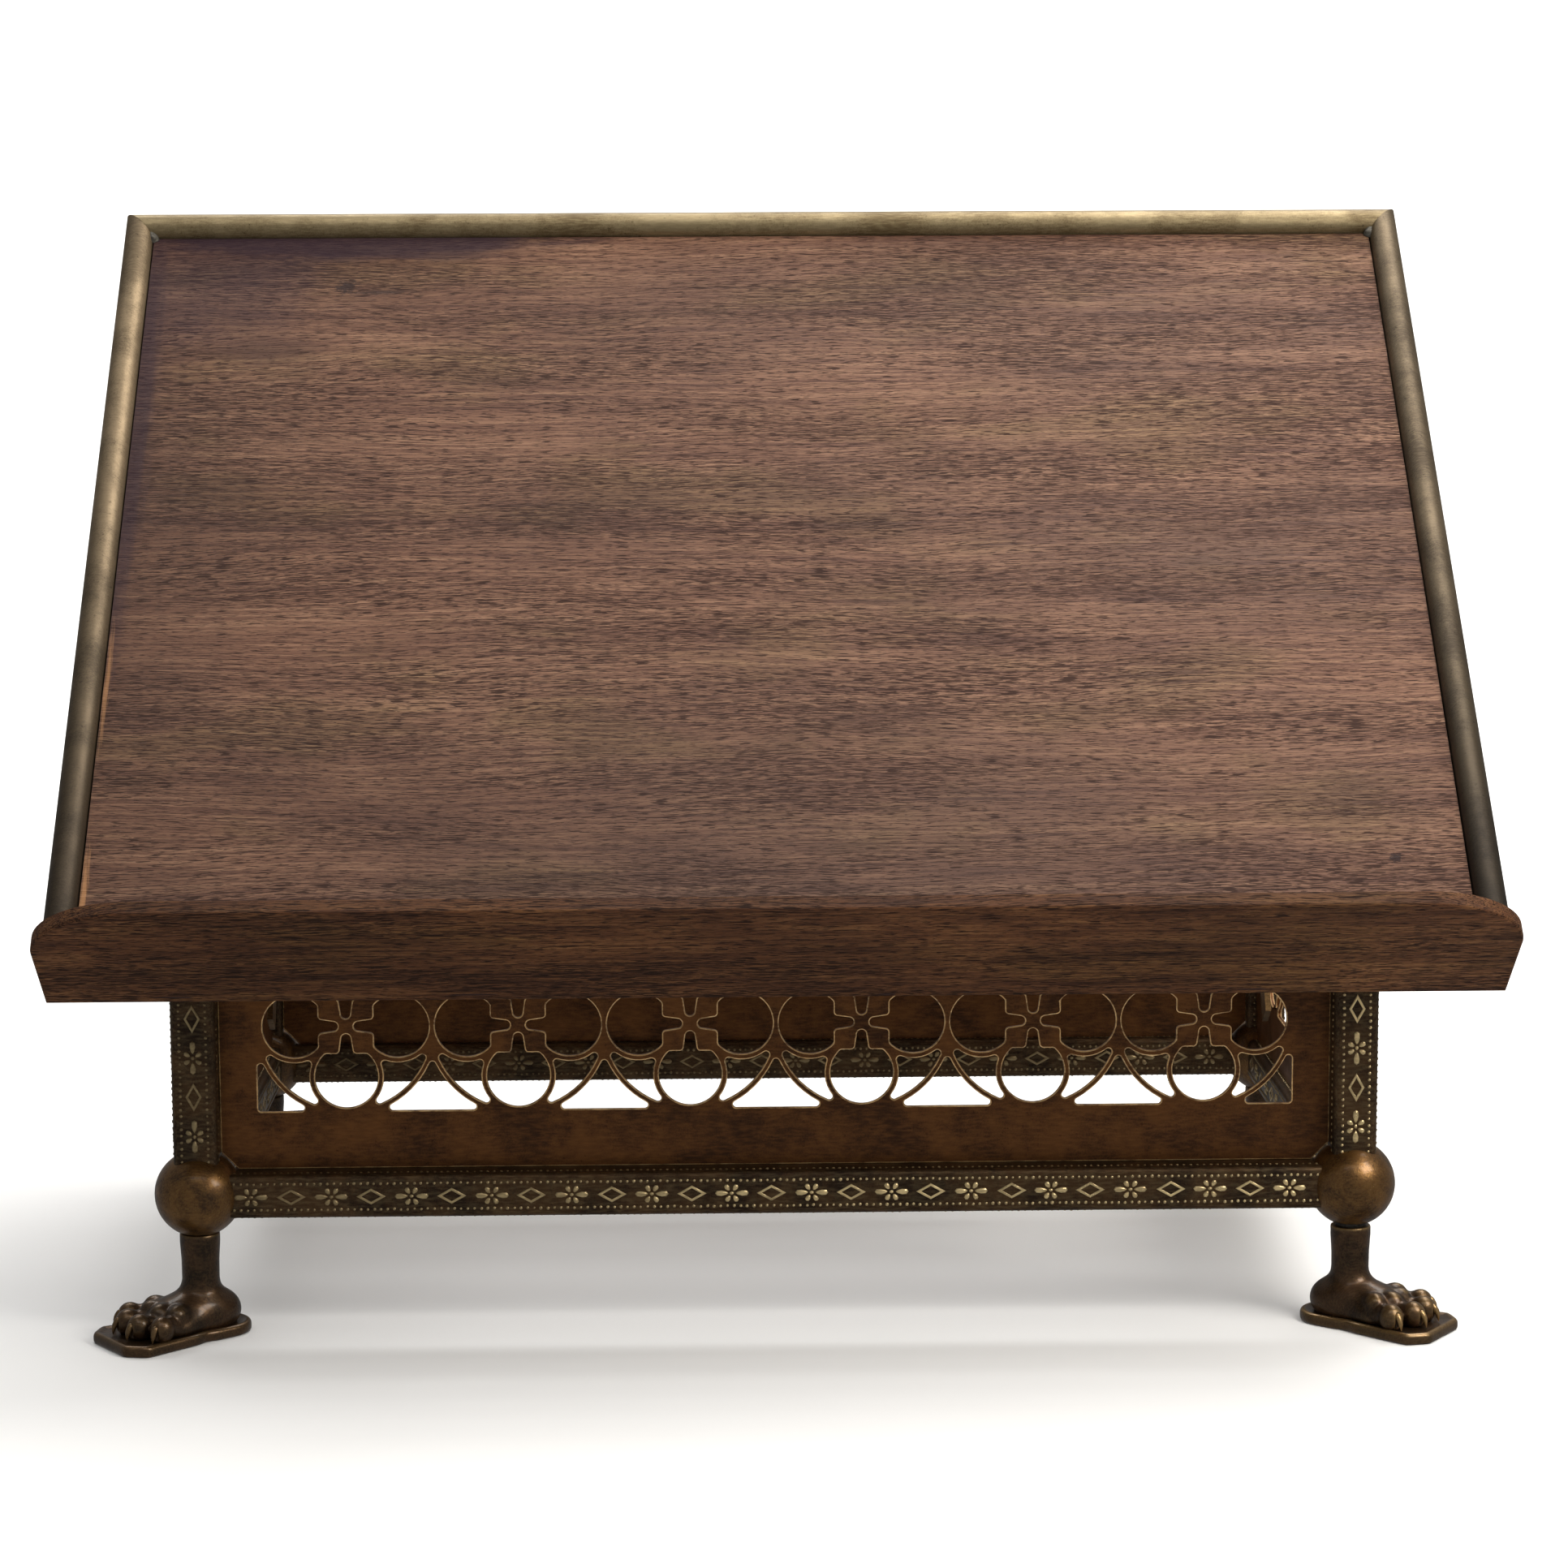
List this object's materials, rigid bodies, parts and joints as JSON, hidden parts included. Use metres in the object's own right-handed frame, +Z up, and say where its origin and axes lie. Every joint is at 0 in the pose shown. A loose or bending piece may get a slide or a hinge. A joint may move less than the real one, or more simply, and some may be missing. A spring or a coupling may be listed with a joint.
{
  "type": "book display stand",
  "caption": "Adjustable table bookstand: sloping wooden board with brass edging and a ledge, hinged on a pierced brass gallery base with ball corners and lion-paw feet.",
  "frame": {"origin": "on the floor, at the centre of the stand's bounding box", "axes": "+Z up, +X along the ledge to the reader's right, -Y towards the reader"},
  "size_m": [0.464, 0.3186, 0.3662],
  "materials": {
    "patinated_brass": "aged, embossed",
    "gallery_brass": "aged sheet with worn edges",
    "ball_brass": "aged, polished by handling",
    "foot_bronze": "dark cast with bright high spots",
    "edging_brass": "dull olive patina",
    "dark_fastener": "dark, oily",
    "board_wood": "worn open-grained mahogany",
    "ledge_wood": "worn open-grained mahogany",
    "dowel_wood": "plain beech"
  },
  "bodies": {
    "base": {"front_bottom_rail": "patinated_brass", "front_top_rail": "patinated_brass", "front_gallery": "gallery_brass", "rear_bottom_rail": "patinated_brass", "rear_top_rail": "patinated_brass", "rear_gallery": "gallery_brass", "left_bottom_rail": "patinated_brass", "left_top_rail": "patinated_brass", "left_gallery": "gallery_brass", "right_bottom_rail": "patinated_brass", "right_top_rail": "patinated_brass", "right_gallery": "gallery_brass", "front_left_post": "patinated_brass", "front_left_ball": "ball_brass", "front_right_post": "patinated_brass", "front_right_ball": "ball_brass", "rear_left_post": "patinated_brass", "rear_left_ball": "ball_brass", "rear_right_post": "patinated_brass", "rear_right_ball": "ball_brass", "post_caps": "patinated_brass", "foot_studs": "dark_fastener", "left_hinge_rail_leaf": "patinated_brass", "right_hinge_rail_leaf": "patinated_brass", "hinge_pins": "dark_fastener", "rail_screws": "dark_fastener", "left_stay_boss": "patinated_brass", "right_stay_boss": "patinated_brass"},
    "board": {"reading_board": "board_wood", "ledge": "ledge_wood", "ledge_dowels": "dowel_wood", "left_edging": "edging_brass", "right_edging": "edging_brass", "top_edging": "edging_brass", "edging_pins": "dark_fastener", "left_hinge_board_leaf": "patinated_brass", "right_hinge_board_leaf": "patinated_brass", "board_screws": "dark_fastener", "left_stay": "patinated_brass", "right_stay": "patinated_brass"},
    "front_left_foot": {"front_left_foot": "foot_bronze"},
    "front_right_foot": {"front_right_foot": "foot_bronze"},
    "rear_left_foot": {"rear_left_foot": "foot_bronze"},
    "rear_right_foot": {"rear_right_foot": "foot_bronze"},
    "left_thumbscrew": {"left_thumbscrew": "ball_brass", "left_thumb_shank": "dark_fastener"},
    "right_thumbscrew": {"right_thumbscrew": "ball_brass", "right_thumb_shank": "dark_fastener"}
  },
  "joints": [
    {"name": "board_tilt", "type": "hinge", "parent": "base", "child": "board", "pos_m": [0, -0.09053, 0.1585], "axis": [1, 0, 0], "range_deg": [-42, 22]},
    {"name": "front_left_foot_turn", "type": "hinge", "parent": "base", "child": "front_left_foot", "pos_m": [-0.19, -0.08003, 0.03], "axis": [0, 0, 1], "continuous": true},
    {"name": "front_right_foot_turn", "type": "hinge", "parent": "base", "child": "front_right_foot", "pos_m": [0.19, -0.08003, 0.03], "axis": [0, 0, 1], "continuous": true},
    {"name": "rear_left_foot_turn", "type": "hinge", "parent": "base", "child": "rear_left_foot", "pos_m": [-0.19, 0.13097, 0.03], "axis": [0, 0, 1], "continuous": true},
    {"name": "rear_right_foot_turn", "type": "hinge", "parent": "base", "child": "rear_right_foot", "pos_m": [0.19, 0.13097, 0.03], "axis": [0, 0, 1], "continuous": true},
    {"name": "left_thumbscrew_turn", "type": "hinge", "parent": "base", "child": "left_thumbscrew", "pos_m": [-0.175, 0.0493, 0.1516], "axis": [1, 0, 0], "range_deg": [-90, 180]},
    {"name": "right_thumbscrew_turn", "type": "hinge", "parent": "base", "child": "right_thumbscrew", "pos_m": [0.175, 0.0493, 0.1516], "axis": [-1, 0, 0], "range_deg": [-90, 180]}
  ]
}
